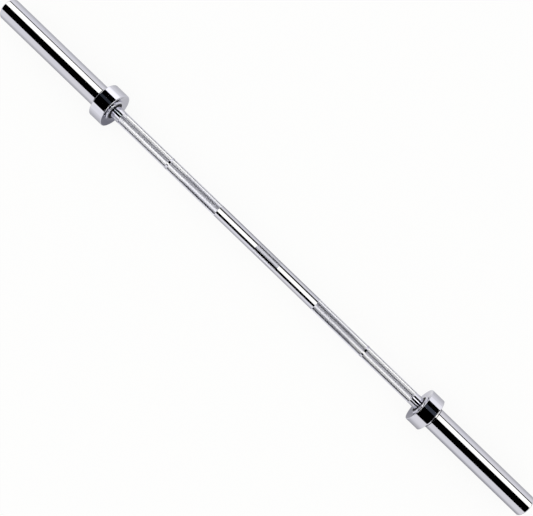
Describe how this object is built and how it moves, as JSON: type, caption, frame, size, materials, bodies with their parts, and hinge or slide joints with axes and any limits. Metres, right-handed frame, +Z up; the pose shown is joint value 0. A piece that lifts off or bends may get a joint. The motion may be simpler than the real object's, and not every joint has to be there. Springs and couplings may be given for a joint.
{
  "type": "olympic barbell",
  "caption": "Short olympic barbell: chromed steel shaft with diamond knurling, wide round collars with dished faces, and smooth rotating sleeves for weight plates.",
  "frame": {"origin": "middle of the bar, on its axis", "axes": "+X along the bar towards the right sleeve, +Z up, the bar symmetric about the YZ plane"},
  "size_m": [1.5, 0.082, 0.082],
  "materials": {
    "shaft_chrome": "hard chrome, satin on the knurl and mirror bright on the smooth bands",
    "sleeve_chrome": "mirror chrome",
    "collar_chrome": "mirror chrome",
    "cap_chrome": "turned and chromed",
    "bushing_bronze": "sintered bronze, oiled",
    "washer_steel": "ground steel",
    "spring_steel": "phosphated spring steel",
    "seal_rubber": "moulded black rubber"
  },
  "bodies": {
    "shaft": {"shaft": "shaft_chrome", "shaft_circlip_left": "spring_steel", "shaft_circlip_right": "spring_steel"},
    "left_sleeve": {"sleeve_left": "sleeve_chrome", "collar_left": "collar_chrome", "dust_seal_left": "seal_rubber", "inner_washer_left": "washer_steel", "inner_bushing_left": "bushing_bronze", "outer_bushing_left": "bushing_bronze", "outer_washer_left": "washer_steel", "end_cap_left": "cap_chrome", "cap_circlip_left": "spring_steel"},
    "right_sleeve": {"sleeve_right": "sleeve_chrome", "collar_right": "collar_chrome", "dust_seal_right": "seal_rubber", "inner_washer_right": "washer_steel", "inner_bushing_right": "bushing_bronze", "outer_bushing_right": "bushing_bronze", "outer_washer_right": "washer_steel", "end_cap_right": "cap_chrome", "cap_circlip_right": "spring_steel"}
  },
  "joints": [
    {"name": "left_sleeve_spin", "type": "hinge", "parent": "shaft", "child": "left_sleeve", "pos_m": [-0.6, 0, 0], "axis": [-1, 0, 0], "continuous": true},
    {"name": "right_sleeve_spin", "type": "hinge", "parent": "shaft", "child": "right_sleeve", "pos_m": [0.6, 0, 0], "axis": [1, 0, 0], "continuous": true}
  ]
}
